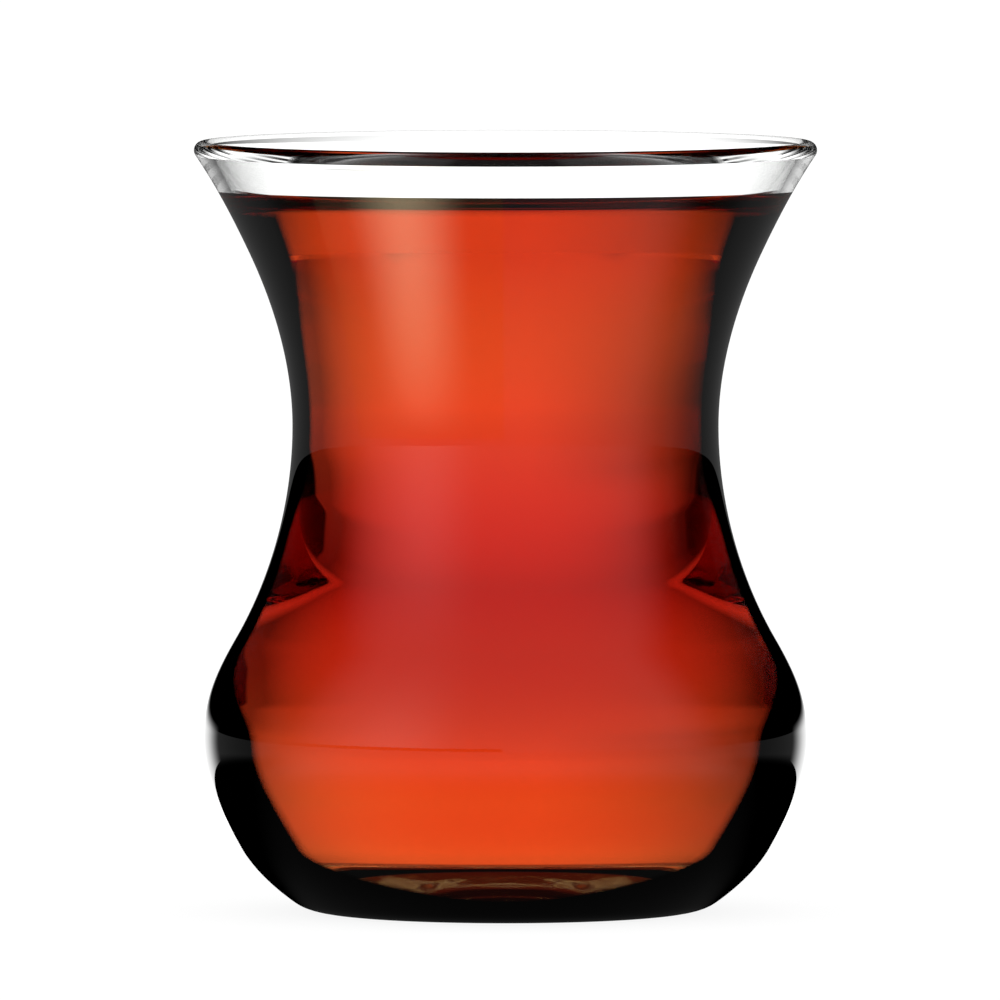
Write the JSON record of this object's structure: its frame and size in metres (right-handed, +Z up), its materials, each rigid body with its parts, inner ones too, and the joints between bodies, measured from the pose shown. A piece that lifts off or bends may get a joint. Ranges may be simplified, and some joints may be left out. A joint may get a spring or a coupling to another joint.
{
  "type": "turkish tea glass",
  "caption": "Tulip-shaped clear glass with a flared rounded rim, a narrow waist and a round thick-footed belly, filled with black tea.",
  "frame": {"origin": "centre of the foot ring, on the surface that the glass stands on", "axes": "+Z up along the glass's axis of revolution; X and Y are alike"},
  "size_m": [0.0662, 0.0662, 0.082],
  "materials": {
    "glass": "clear, smooth and thin-walled, with a fire-polished rim",
    "tea": "clear red-brown black tea"
  },
  "bodies": {
    "root": {"glass": "glass", "tea": "tea"}
  },
  "joints": []
}
